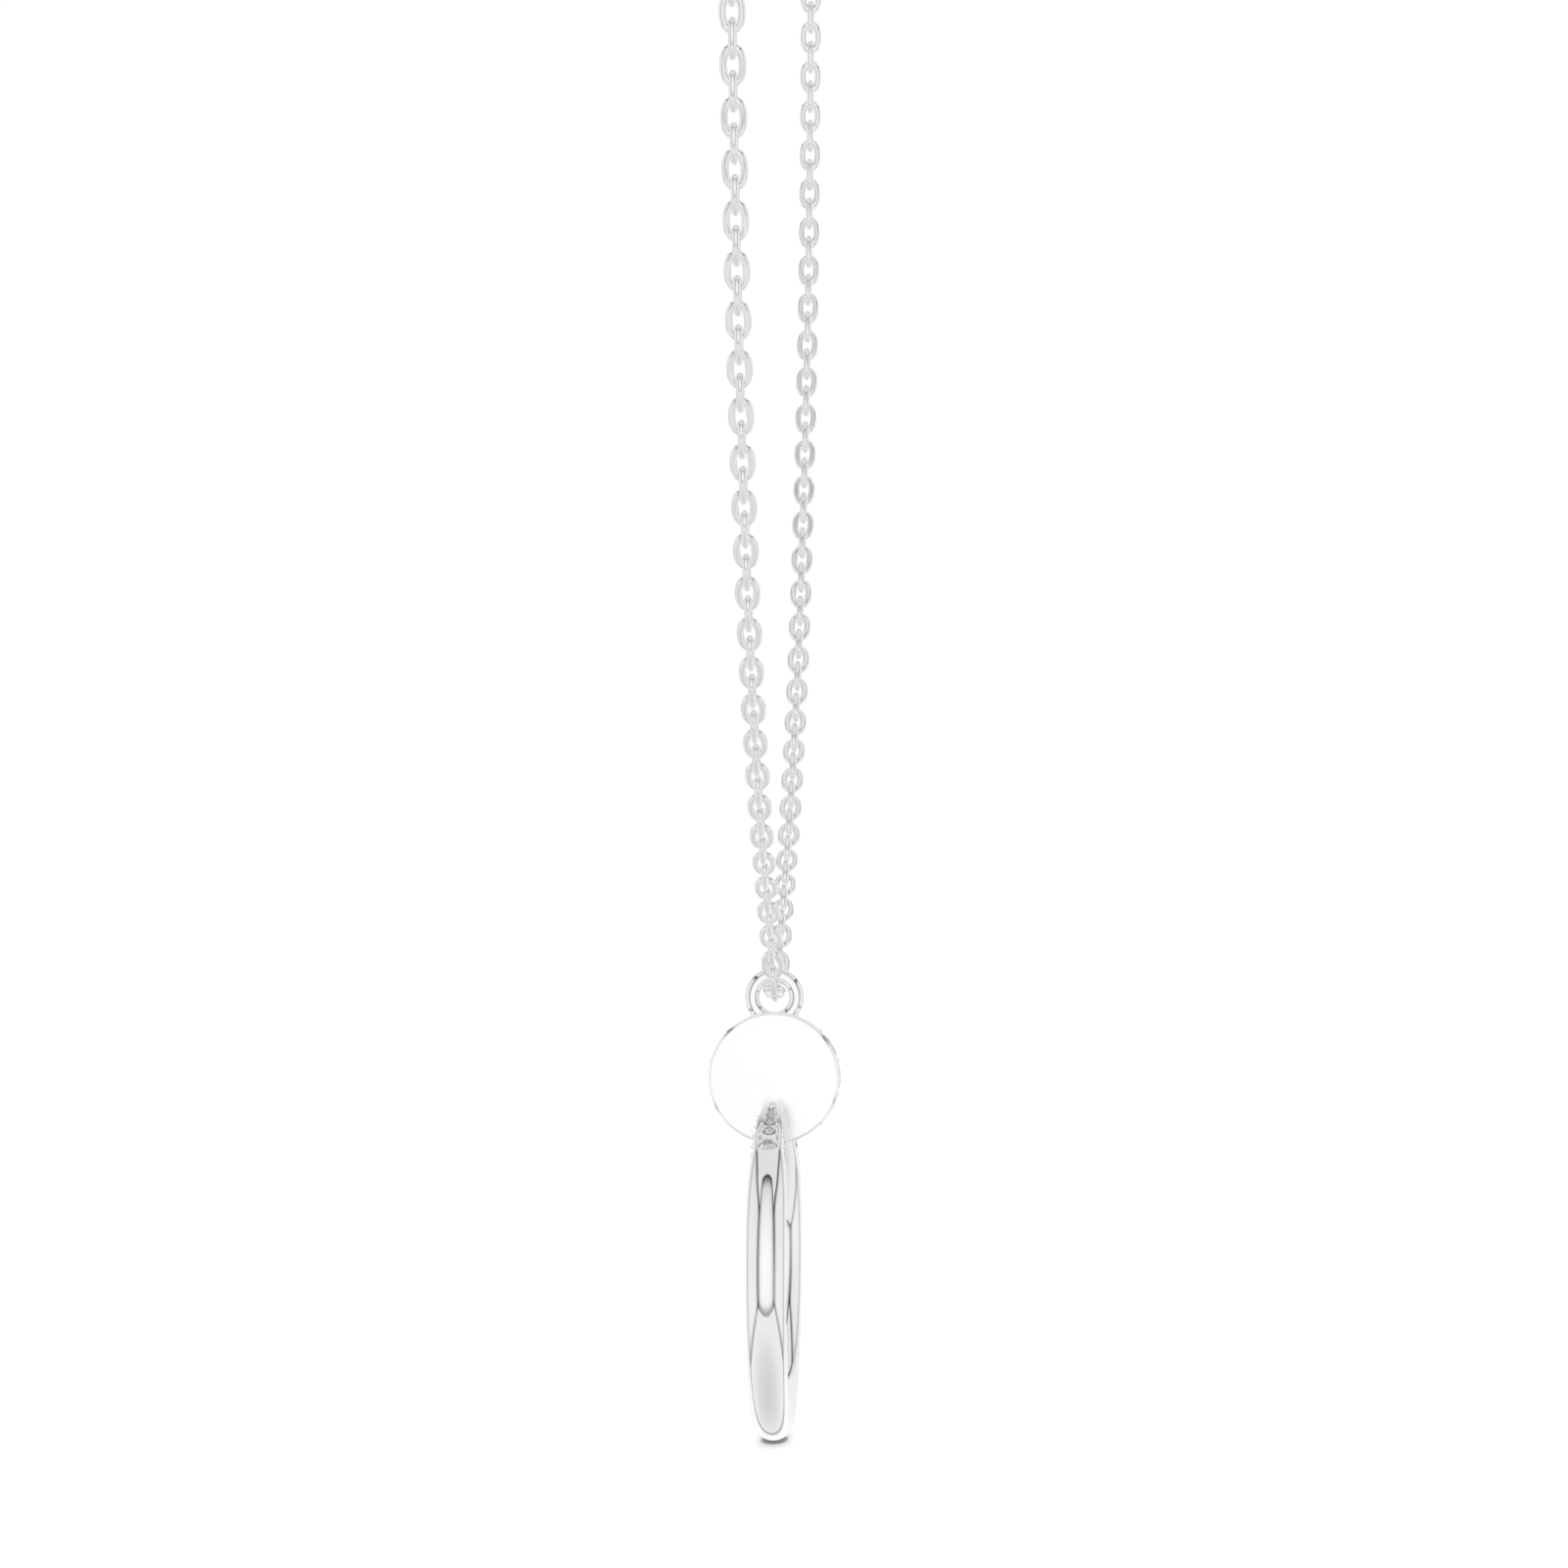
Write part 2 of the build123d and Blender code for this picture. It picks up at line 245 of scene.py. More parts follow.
class StudioSettings(bpy.types.PropertyGroup):
    azimuth: bpy.props.FloatProperty(
        name="Azimuth", description="Direction from which the camera sees the pendant",
        default=math.radians(93), subtype="ANGLE")
    distance: bpy.props.FloatProperty(
        name="Distance", description="Distance from the camera to the pendant's axis",
        default=325.8 * MM, unit="LENGTH")
    height: bpy.props.FloatProperty(
        name="Camera height", description="Height of the level camera",
        default=-169.18 * MM, unit="LENGTH", precision=5)
    aside: bpy.props.FloatProperty(
        name="Aside", description="How far the camera stands to its own right",
        default=0.6 * MM, unit="LENGTH", precision=5)
    lens: bpy.props.FloatProperty(
        name="Lens", description="Focal length on a 36 mm wide sensor",
        default=118.82, subtype="DISTANCE_CAMERA")
    floor_colour: bpy.props.FloatVectorProperty(
        name="Floor", description="Colour of the pale floor",
        default=(0.95, 0.95, 0.95), size=3, min=0, max=1, subtype="COLOR")
    floor_size: bpy.props.FloatProperty(
        name="Floor size", description="Width of the square floor",
        default=6.0, unit="LENGTH")


# Shader nodes
def add_node(tree, kind, inputs=None, **values):
    """Adds a node, sets its own values, and fills or links its inputs."""
    node = tree.nodes.new(kind)
    for name, value in values.items():
        setattr(node, name, value)
    for name, value in (inputs or {}).items():
        socket = node.inputs[name]
        if isinstance(value, bpy.types.NodeSocket):
            tree.links.new(value, socket)
        else:
            socket.default_value = value
    return node


def math_node(tree, operation, *terms):
    """Result of a math node on sockets and numbers."""
    return add_node(tree, "ShaderNodeMath", dict(enumerate(terms)), operation=operation).outputs[0]


def blend_range(tree, value, low, high, first, last, ease="LINEAR"):
    """Value mapped from one range to another, held at its ends."""
    ranges = {"Value": value, "From Min": low, "From Max": high, "To Min": first, "To Max": last}
    return add_node(tree, "ShaderNodeMapRange", ranges, interpolation_type=ease).outputs[0]


def mix_values(tree, mask, first, second):
    """The first value where the mask is 0, and the second where it is 1."""
    return add_node(tree, "ShaderNodeMix", {"Factor": mask, 2: first, 3: second}).outputs[0]


def closeness(tree, first, second):
    """Smaller of two values as a share of the larger, which is 1 where they meet."""
    smaller = math_node(tree, "MINIMUM", first, second)
    return math_node(tree, "DIVIDE", smaller, math_node(tree, "MAXIMUM", first, second))


def shade_gap(tree, light, gap, depth):
    """Light darkened in a gap between two panels, or a metal's colour darkened with painted shade
    along a marked edge.
    """
    loss = math_node(tree, "MULTIPLY", gap, depth)
    return math_node(tree, "MULTIPLY", light, math_node(tree, "SUBTRACT", 1.0, loss))


def new_group(name, inputs, outputs):
    """An empty shader node group with its sockets, and its input and output nodes."""
    group = bpy.data.node_groups.new(name, "ShaderNodeTree")
    for label, kind, default in inputs:
        socket = group.interface.new_socket(label, in_out="INPUT", socket_type=kind)
        socket.default_value = default
    for label, kind in outputs:
        group.interface.new_socket(label, in_out="OUTPUT", socket_type=kind)
    return group, add_node(group, "NodeGroupInput"), add_node(group, "NodeGroupOutput")


def polish_group():
    """Faint wipe marks and soft tarnish of hand-polished white metal, with painted shade along the
    edges that the mesh marks.
    """
    name = "Polish marks"
    if name in bpy.data.node_groups:
        return bpy.data.node_groups[name]
    group, given, result = new_group(
        name,
        (("Metal", "NodeSocketColor", (0.9, 0.9, 0.9, 1)),
         ("Roughness", "NodeSocketFloat", 0.04),
         ("Spread", "NodeSocketFloat", 0.02),
         ("Painted edge shade", "NodeSocketFloat", 0.0),
         ("Cloud scale", "NodeSocketFloat", 700.0)),
        (("Colour", "NodeSocketColor"), ("Roughness", "NodeSocketFloat"),
         ("Height", "NodeSocketFloat")))
    place = add_node(group, "ShaderNodeTexCoord").outputs["Object"]
    cloud = add_node(
        group, "ShaderNodeTexNoise",
        {"Vector": place, "Scale": given.outputs["Cloud scale"], "Detail": 3.0, "Roughness": 0.55})
    stretch = add_node(
        group, "ShaderNodeMapping",
        {"Vector": place, "Rotation": (0.3, 0.2, 0.5), "Scale": (9000.0, 900.0, 14000.0)})
    wipes = add_node(
        group, "ShaderNodeTexNoise",
        {"Vector": stretch.outputs[0], "Scale": 1.0, "Detail": 2.0, "Roughness": 0.6})
    change = math_node(group, "SUBTRACT", cloud.outputs["Fac"], 0.5)
    change = math_node(group, "MULTIPLY", change, given.outputs["Spread"])
    wipe_change = math_node(group, "SUBTRACT", wipes.outputs["Fac"], 0.5)
    wipe_change = math_node(group, "MULTIPLY", wipe_change, given.outputs["Spread"])
    total = math_node(group, "ADD", change, wipe_change)
    rough = math_node(group, "ADD", given.outputs["Roughness"], total)
    tarnish_and_painted_edge_shade = math_node(group, "MULTIPLY_ADD", change, -1.2, 1.0)
    # Painted shade: the metal's colour is darkened along the edges that the mesh marks
    tarnish_and_painted_edge_shade = shade_gap(group, tarnish_and_painted_edge_shade, given.outputs["Painted edge shade"], PAINTED_EDGE_SHADE_DEPTH)
    tint = add_node(
        group, "ShaderNodeVectorMath",
        {0: given.outputs["Metal"], "Scale": tarnish_and_painted_edge_shade}, operation="SCALE")
    group.links.new(tint.outputs[0], result.inputs["Colour"])
    group.links.new(rough, result.inputs["Roughness"])
    group.links.new(wipes.outputs["Fac"], result.inputs["Height"])
    return group


def new_material(name):
    """A node material with its Principled shader, ready to be wired."""
    material = bpy.data.materials.new(name)
    material.use_nodes = True
    tree = material.node_tree
    tree.nodes.clear()
    shader = add_node(tree, "ShaderNodeBsdfPrincipled")
    add_node(tree, "ShaderNodeOutputMaterial", {"Surface": shader.outputs[0]})
    return material, tree, shader


def metal_material(name, colour, roughness, spread, bump):
    """Polished white metal with faint marks, and a painted shade line where the mesh marks an edge."""
    material, tree, shader = new_material(name)
    # The mesh's painted edge shade, which darkens the colour along the horns' rounded edges and at
    # their tips
    edge = add_node(tree, "ShaderNodeAttribute", attribute_name="painted_edge_shade")
    given = {"Metal": (*colour, 1), "Roughness": roughness, "Spread": spread,
             "Painted edge shade": edge.outputs["Fac"]}
    marks = add_node(tree, "ShaderNodeGroup", given, node_tree=polish_group())
    relief = add_node(
        tree, "ShaderNodeBump",
        {"Height": marks.outputs["Height"], "Strength": bump, "Distance": 0.000002})
    shader.inputs["Metallic"].default_value = 1.0
    tree.links.new(marks.outputs["Colour"], shader.inputs["Base Color"])
    tree.links.new(marks.outputs["Roughness"], shader.inputs["Roughness"])
    tree.links.new(relief.outputs[0], shader.inputs["Normal"])
    return material


def stone_material(name, colour):
    """Clear cut stone with a trace of cloud inside."""
    material, tree, shader = new_material(name)
    place = add_node(tree, "ShaderNodeTexCoord").outputs["Object"]
    cloud = add_node(
        tree, "ShaderNodeTexNoise", {"Vector": place, "Scale": 1500.0, "Detail": 2.0})
    tint = add_node(
        tree, "ShaderNodeMix",
        {"Factor": cloud.outputs["Fac"], 6: (*colour, 1), 7: (1, 1, 1, 1)}, data_type="RGBA")
    tree.links.new(tint.outputs[2], shader.inputs["Base Color"])
    shader.inputs["Transmission Weight"].default_value = 0.94
    shader.inputs["IOR"].default_value = 2.417
    shader.inputs["Roughness"].default_value = 0.0
    return material


def dress(node, material):
    """Gives a CAD node its material."""
    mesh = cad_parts[node].data
    mesh.materials.clear()
    mesh.materials.append(material)


# Meshes
def new_piece(name, vertices, faces, material):
    """A smooth mesh object from lists of vertices and faces."""
    mesh = bpy.data.meshes.new(name)
    mesh.from_pydata([tuple(map(float, vertex)) for vertex in vertices], [], faces)
    mesh.shade_smooth()
    mesh.materials.append(material)
    piece = bpy.data.objects.new(name, mesh)
    bpy.context.collection.objects.link(piece)
    return piece


def ring_points(half_length, half_width, power, segments, wire, sides):
    """Grid of points on a closed oval of round wire in the XY plane, its length along X."""
    turn = np.arange(segments) * 2 * math.pi / segments
    across = np.stack([np.cos(turn), np.sin(turn)], axis=1)
    centre = np.sign(across) * np.abs(across) ** (2 / power) * [half_length, half_width]
    along = np.roll(centre, -1, axis=0) - np.roll(centre, 1, axis=0)
    along /= np.linalg.norm(along, axis=1)[:, None]
    outward = np.stack([along[:, 1], -along[:, 0]], axis=1)
    angle = (np.arange(sides) + 0.5) * 2 * math.pi / sides
    points = np.zeros((segments, sides, 3))
    points[:, :, :2] = centre[:, None] + wire / 2 * np.cos(angle)[None, :, None] * outward[:, None]
    points[:, :, 2] = wire / 2 * np.sin(angle)
    return points.reshape(-1, 3)


def tube_faces(rows, columns, closed=False):
    """Faces of a grid whose rows are closed rings, with end caps unless the rows close too."""
    faces = []
    for row in range(rows if closed else rows - 1):
        following = (row + 1) % rows
        for column in range(columns):
            beside = (column + 1) % columns
            faces.append((row * columns + column, following * columns + column,
                          following * columns + beside, row * columns + beside))
    if not closed:
        last = (rows - 1) * columns
        faces += [tuple(range(columns)), tuple(last + column for column in reversed(range(columns)))]
    return faces


def copied_faces(faces, base):
    """Faces of a further copy of a mesh, whose points start at a base."""
    return [tuple(base + corner for corner in face) for face in faces]


def spline_points(route):
    """Points read from the route's smooth spline, as an array in metres."""
    curve = bpy.data.curves.new("chain_route", "CURVE")
    curve.dimensions = "3D"
    curve.resolution_u = 24
    spline = curve.splines.new("NURBS")
    spline.points.add(len(route) - 1)
    for point, (x, z) in zip(spline.points, route):
        point.co = (x * MM, 0.0, (z - CHAIN_TOP) * MM, 1.0)
    spline.order_u = 3
    spline.use_endpoint_u = True
    holder = bpy.data.objects.new("chain_route", curve)
    read = bpy.data.meshes.new_from_object(holder)
    points = np.array([vertex.co for vertex in read.vertices])
    bpy.data.meshes.remove(read)
    bpy.data.objects.remove(holder)
    bpy.data.curves.remove(curve)
    return points


def step_along(points, start, pitch, count):
    """Contact points of rigid links: each one a pitch from the last, on the line of points."""
    contacts = [start]
    index = 1
    for _ in range(count):
        here = contacts[-1]
        while index < len(points) - 1 and np.linalg.norm(points[index] - here) < pitch:
            index += 1
        low, run = points[index - 1], points[index] - points[index - 1]
        back = low - here
        half = back @ run
        square = run @ run
        share = (-half + math.sqrt(half ** 2 - square * (back @ back - pitch ** 2))) / square
        contacts.append(low + share * run)
    return contacts


def fitted_contacts(points, start, pitch):
    """Contacts of an odd number of links that end just where the line of points ends."""
    length = np.linalg.norm(np.diff(points, axis=0), axis=1).sum()
    length -= np.linalg.norm(start - points[0])
    count = 2 * round((length / pitch - 1) / 2) + 1
    for _ in range(FITTING_ROUNDS):
        contacts = step_along(points, start, pitch, count)
        along = points[-1] - points[-2]
        over = (contacts[-1] - points[-1]) @ along / np.linalg.norm(along)
        pitch -= over / count
    return contacts


def placed_links(contacts, first_turn, shape):
    """Vertices of links between contacts, turned a quarter turn from link to link."""
    sideways = np.array([0.0, 1.0, 0.0])
    placed = []
    for index, (low, high) in enumerate(zip(contacts, contacts[1:])):
        along = (high - low) / np.linalg.norm(high - low)
        normal = np.cross(along, sideways)
        width = normal if (first_turn + index) % 2 else sideways
        axes = np.stack([along, width, np.cross(along, width)])
        placed.append(shape @ axes + (low + high) / 2)
    return placed


def joined_rings(name, rings, segments, sides, material):
    """One mesh object from many rings with the same grid."""
    one = tube_faces(segments, sides, closed=True)
    faces = []
    for index in range(len(rings)):
        faces += copied_faces(one, index * segments * sides)
    return new_piece(name, np.concatenate(rings), faces, material)


# The pendant's metal
def horn_place(angle):
    """Place along a horn of an angle from the top of the hoop, on either half."""
    return (min(angle, 360 - angle) - TIP_ANGLE) / (ROOT_ANGLE - TIP_ANGLE)


def horn_form(place):
    """Radius of the wire and heights of its outer and side flats at a place."""
    if place >= 1:
        return [HOOP_WIRE / 2] * 3
    places, *columns = np.array(HORN_SECTIONS).T
    return [smooth_value(places, column, place) for column in columns]


def smooth_value(places, values, place):
    """Value read at a place on a smooth curve through a table's rows, which never overshoots."""
    runs = np.diff(places)
    slopes = np.diff(values) / runs
    index = int(np.clip(np.searchsorted(places, place) - 1, 0, len(places) - 2))
    ends = []
    for row in (index, index + 1):
        near = slopes[max(row - 1, 0):row + 1]
        flat_or_turn = min(near) <= 0 < max(near) or not near.any()
        ends.append(0.0 if flat_or_turn else len(near) / sum(1 / slope for slope in near if slope))
    run = runs[index]
    share = np.clip((place - places[index]) / run, 0, 1)
    low, high = values[index], values[index + 1]
    first, last = ends[0] * run, ends[1] * run
    return (low + share * first + share ** 2 * (3 * (high - low) - 2 * first - last)
            + share ** 3 * (2 * (low - high) + first + last))


def channel_row(side, place):
    """Half of the width and the floor of a side's channel at a place, held beyond its ends."""
    places, halves, floors = np.array(side["channel"]).T
    slope = (floors[-1] - floors[-2]) / (places[-1] - places[-2])
    floor = np.interp(place, places, floors) + max(place - places[-1], 0) * slope
    return float(np.interp(place, places, halves)), float(floor)


def arc_through(first, middle, last, shares):
    """Points of the arc through three points, at shares from 0 to 1 of its turn."""
    (ax, ay), (bx, by), (cx, cy) = first, middle, last
    twice = 2 * (ax * (by - cy) + bx * (cy - ay) + cx * (ay - by))
    squares = [x * x + y * y for x, y in (first, middle, last)]
    x = (squares[0] * (by - cy) + squares[1] * (cy - ay) + squares[2] * (ay - by)) / twice
    y = (squares[0] * (cx - bx) + squares[1] * (ax - cx) + squares[2] * (bx - ax)) / twice
    radius = math.hypot(ax - x, ay - y)
    start, stop = math.atan2(ay - y, ax - x), math.atan2(cy - y, cx - x)
    turn = start + np.asarray(shares) * (stop - start)
    return np.stack([x + radius * np.cos(turn), y + radius * np.sin(turn)], axis=1)


def carved_height(side, place, across, height, arc):
    """Height of a side's surface once its channel and the seats of its stones are cut."""
    start, end = side["channel"][0][0], side["channel"][-1][0]
    beyond = max(start - place, place - end, 0) * arc
    half, floor = channel_row(side, place)
    inside = half - np.hypot(across, beyond)
    cut = np.clip(0.5 + inside / (2 * WALL_SLANT), 0, 1)
    cut = cut * cut * (3 - 2 * cut)
    height = height + cut * (np.minimum(height, floor) - height)
    for stone, fill, lean in side["stones"]:
        half, floor = channel_row(side, stone)
        radius = fill * half + SEAT_CLEARANCE
        along = (place - stone) * arc
        plane = floor - along * math.tan(math.radians(lean))
        away = np.hypot(across, along)
        cone = plane - (radius - away) * math.tan(math.radians(SEAT_SLOPE))
        height = np.where(away < radius, np.minimum(height, cone), height)
    return height


def horn_ring(angle):
    """Points of the hoop's outline at an angle, as (outward, frontward) pairs, and each point's
    painted edge shade.
    """
    place = horn_place(angle)
    radius, outer, side_height = horn_form(place)
    least = math.radians(LEAST_FLAT_TURN)
    turns = [max(math.acos(min(flat / radius, 1)), least) for flat in (outer, side_height)]
    faces = (
        (OUTER_SIDE, 0.0, turns[0], outer), (FLANK_SIDE, math.pi / 2, turns[1], side_height),
        (None, math.pi, math.pi / 2 - turns[1], radius),
        (FLANK_SIDE, -math.pi / 2, turns[1], side_height))
    outline = []
    for index, (side, middle, turn, flat) in enumerate(faces):
        reach, edge = radius * math.sin(turn), radius * math.cos(turn)
        if side is None:
            swing = np.linspace(-turn, turn, INNER_POINTS)[:-1]
            face = radius * np.stack([np.cos(swing), np.sin(swing)], axis=1)
        else:
            width = min(channel_row(side, place)[0], reach - LEAST_RIM)
            inner = np.linspace(-1, 1, FLOOR_POINTS) * (width - WALL_SLANT)
            inward = np.linspace(0, 1, RIM_POINTS)[:-1] ** 1.5
            rim = reach - inward * (reach - width - WALL_SLANT)
            across = np.array([*-rim, -width - WALL_SLANT, -width, *inner, width, width + WALL_SLANT,
                               *rim[:0:-1]])
            shares = (across / reach + 1) / 2
            crowned = min(flat + FLAT_CROWN * radius, radius)
            face = arc_through((edge, -reach), (crowned, 0), (edge, reach), shares)
            if place < CARVING_END:
                arc = HORN_LENGTH * (1 + outer / HOOP_RADIUS * (side is OUTER_SIDE))
                face[:, 0] = carved_height(side, place, face[:, 1], face[:, 0], arc)
        spin = np.array([[math.cos(middle), math.sin(middle)], [-math.sin(middle), math.cos(middle)]])
        outline.append(face @ spin)
        following = faces[(index + 1) % 4]
        first, last = middle + turn, following[1] - following[2]
        swing = np.linspace(first, first + (last - first) % (2 * math.pi), EDGE_POINTS)[:-1]
        if side is not None and following[0] is not None:
            outline.append(radius * np.stack([np.cos(swing), np.sin(swing)], axis=1))
    outline = np.concatenate(outline)
    # Painted edge shade of each point: how much the metal's colour is darkened
    edge = np.zeros(len(outline))
    if place < 1:
        flats = ((0.0, outer), (math.pi / 2, side_height), (-math.pi / 2, side_height))
        outline, edge = softened(outline, radius, flats)
        edge *= np.clip((PAINTED_EDGE_SHADE_END - place) / PAINTED_EDGE_SHADE_FADE, 0, 1)
    near_tip = max(TIP_ROUND - place * HORN_LENGTH, 0)
    inset = TIP_ROUND - math.sqrt(TIP_ROUND ** 2 - near_tip ** 2)
    outline = outline * (1 - inset / np.linalg.norm(outline, axis=1))[:, None]
    # The tip is darkened with painted shade too, fully over the last half of its round
    return outline, np.maximum(edge, min(2 * near_tip / TIP_ROUND, 1))


def softened(outline, radius, flats):
    """Outline with its edges beside the flats hand-rounded, and a painted shade for each point, darker
    the nearer it is to one of those edges.
    """
    length = np.linalg.norm(outline, axis=1)
    edge = np.zeros(len(outline))
    turn = np.arctan2(outline[:, 1], outline[:, 0])
    for middle, height in flats:
        if height >= radius - 1e-6:
            continue
        facing = np.maximum(np.cos(turn - middle), 0.05)
        apart = np.abs(height / facing - radius)
        cut = EDGE_SOFTNESS * np.log1p(np.exp(-apart / EDGE_SOFTNESS))
        on_rim = (np.minimum(height / facing, radius) - length < RIM_DEPTH) & (facing > 0.1)
        length = np.where(on_rim, length - cut, length)
        # A painted shade line along each rounded edge
        line = np.clip(1.6 - 1.3 * apart / EDGE_SOFTNESS, 0, 1)
        edge = np.maximum(edge, line * on_rim)
    return outline * (length / np.linalg.norm(outline, axis=1))[:, None], edge


def hoop_angles():
    """Angles of the hoop's rings from one tip round the bottom to the other, close in the horns."""
    stretches = [np.linspace(first, last, rings + 1)[:-1] for first, last, rings in HOOP_STRETCHES]
    half = np.concatenate([TIP_ANGLE + np.array(TIP_RINGS), *stretches])
    return np.concatenate([half, [180], 360 - half[::-1]])


def lathe(profile, segments):
    """Vertices and faces of a profile of (radius, height) pairs turned about Z, capped at its ends."""
    turn = np.arange(segments) * 2 * math.pi / segments
    rings = [np.stack([radius * np.cos(turn), radius * np.sin(turn), np.full(segments, height)], 1)
             for radius, height in profile]
    return np.concatenate(rings), tube_faces(len(profile), segments)


def horn_bead_spots():
    """Floor point, outward normal and height of each bead on both horns, in millimetres."""
    spots = []
    for turn, side in ((0, OUTER_SIDE), (90, FLANK_SIDE), (-90, FLANK_SIDE)):
        rows = [(place, fill * channel_row(side, place)[0] / HORN_LENGTH)
                for place, fill, lean in side["stones"]]
        gaps = [(a - da + b + db) / 2 for (a, da), (b, db) in zip(rows, rows[1:])]
        gaps.append(rows[-1][0] - LAST_BEAD_STEP * rows[-1][1])
        for place in gaps:
            half, floor = channel_row(side, place)
            proud = horn_form(place)[1 + side["flat"]] - floor + BEAD_PROUD
            for across in (BEAD_RIM_GAP - half, half - BEAD_RIM_GAP):
                spots += bead_pair(place, math.radians(turn), across, floor, proud)
    return spots


def bead_pair(place, turn, across, floor, proud):
    """The same bead on the right and on the left horn."""
    angle = math.radians(TIP_ANGLE + place * (ROOT_ANGLE - TIP_ANGLE))
    radial = np.array([math.sin(angle), 0, math.cos(angle)])
    front = np.array([0, -1.0, 0])
    normal = radial * math.cos(turn) + front * math.sin(turn)
    beside = front * math.cos(turn) - radial * math.sin(turn)
    point = radial * HOOP_RADIUS + [0, 0, HOOP_HEIGHT] + normal * floor + beside * across
    return [(point, normal, proud), (point * [-1, 1, 1], normal * [-1, 1, 1], proud)]


def disc_bead_spots():
    """Foot point, outward normal and height of the beads in the disc's edge."""
    spots = []
    for middle in (0, 180):
        for step in (-1.5, -0.5, 0.5, 1.5):
            angle = math.radians(middle + step * DISC_STONE_STEP)
            normal = np.array([0, math.cos(angle), math.sin(angle)])
            for across in (-DISC_BEAD_ASIDE, DISC_BEAD_ASIDE):
                point = normal * (DISC_RADIUS - DISC_BEAD_DEPTH) + [across, 0, DISC_HEIGHT]
                spots.append((point, normal, DISC_BEAD_HEIGHT))
    return spots


def turned_upright(points, normal, place):
    """Points turned so that their Z lies along a normal, and moved to a place."""
    turn = Vector((0, 0, 1)).rotation_difference(Vector(normal)).to_matrix()
    return points @ np.array(turn).T + place


class NECKLACE_OT_add_metal(bpy.types.Operator):
    """Add the pendant's metal: the hoop with its carved horns, the disc, the loop and the beads"""
    bl_idname = "necklace.add_metal"
    bl_label = "Add pendant metal"

    def execute(self, context):
        metal = context.scene.necklace_metal
        marks = {"spread": 0.02, "bump": 0.05}
        polished = metal_material("Pendant metal", metal.colour, metal.roughness, **marks)
        # The disc and the beads get the lighter, painted-light copy of the metal, with the brushed
        # disc's roughness
        brushed = metal_material("Disc metal", metal.disc_lit_colour, metal.disc_roughness, **marks)
        *hoop, edges = self.hoop()
        for name, (vertices, faces), material in (
                ("hoop_with_horns", hoop, polished), ("disc", self.disc(), brushed),
                ("loop", self.loop(), polished), ("stone_beads", self.beads(), brushed)):
            piece = new_piece(name, vertices * MM, faces, material)
            if name == "hoop_with_horns":
                # The hoop's painted edge shade goes to the mesh, where it darkens the metal's colour
                painted_edge_shade = piece.data.attributes.new("painted_edge_shade", "FLOAT", "POINT")
                painted_edge_shade.data.foreach_set("value", edges)
            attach(piece, "pendant")
            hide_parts("pendant_frame")
        return {"FINISHED"}

    def hoop(self):
        rings, edges = [], []
        for angle in hoop_angles():
            # Each ring's painted edge shade, kept per point
            outline, edge = horn_ring(angle)
            edges.append(edge)
            turn = math.radians(angle)
            radius = HOOP_RADIUS + outline[:, 0]
            rings.append(np.stack([radius * math.sin(turn), -outline[:, 1],
                                   HOOP_HEIGHT + radius * math.cos(turn)], axis=1))
        return np.concatenate(rings), tube_faces(len(rings), len(rings[0])), np.concatenate(edges)

    def disc(self):
        half, small = DISC_THICKNESS / 2, DISC_EDGE_ROUND
        flat = half - DISC_BEVEL
        turn = np.radians(np.linspace(0, 45, 4))
        outer = np.stack([DISC_RADIUS - small * (1 - np.cos(turn)), flat + small * np.sin(turn)], 1)
        turn = np.radians(np.linspace(45, 90, 4))
        inner = np.stack([DISC_RADIUS - DISC_BEVEL - small * (1 - np.cos(turn)),
                          half - small * (1 - np.sin(turn))], 1)
        bend = np.concatenate([outer, inner])
        between = np.linspace(-flat, flat, 33)[1:-1]
        across = np.concatenate([-bend[::-1, 1], between, bend[:, 1]])
        radii = np.concatenate([bend[::-1, 0], np.full(len(between), DISC_RADIUS), bend[:, 0]])
        close = np.linspace(-SEATED_STRETCH, SEATED_STRETCH, SEATED_RINGS)
        wide = np.linspace(SEATED_STRETCH, 180 - SEATED_STRETCH, PLAIN_RINGS)[1:-1]
        rings = []
        for angle in np.concatenate([close, wide, close + 180, wide + 180]):
            radius = self.seated(radii, across, angle)
            turn = math.radians(angle)
            rings.append(np.stack([across, radius * math.cos(turn),
                                   DISC_HEIGHT + radius * math.sin(turn)], axis=1))
        columns = len(across)
        faces = []
        for row in range(len(rings)):
            following = (row + 1) % len(rings)
            for column in range(columns - 1):
                faces.append((row * columns + column, row * columns + column + 1,
                              following * columns + column + 1, following * columns + column))
        low_face = tuple(row * columns for row in range(len(rings)))
        high_face = tuple((row + 1) * columns - 1 for row in reversed(range(len(rings))))
        return np.concatenate(rings), faces + [low_face, high_face]

    def seated(self, radii, across, angle):
        """Radii of the disc's outline at an angle, once the seats of its stones are cut."""
        seat = DISC_STONE / 2 + SEAT_CLEARANCE
        for middle in (0, 180):
            for step in (-1, 0, 1):
                stone = middle + step * DISC_STONE_STEP
                apart = math.radians((angle - stone + 180) % 360 - 180)
                away = np.hypot(across, apart * DISC_RADIUS)
                cone = DISC_RADIUS - DISC_SEAT_DEPTH
                cone = cone - (seat - away) * math.tan(math.radians(SEAT_SLOPE))
                radii = np.where(away < seat, np.minimum(radii, cone), radii)
        return radii

    def loop(self):
        segments, sides = 96, 32
        ring = ring_points(LOOP_RADIUS, LOOP_RADIUS, ROUND, segments, LOOP_WIRE, sides)
        return ring[:, [2, 0, 1]] + [0, 0, LOOP_HEIGHT], tube_faces(segments, sides, closed=True)

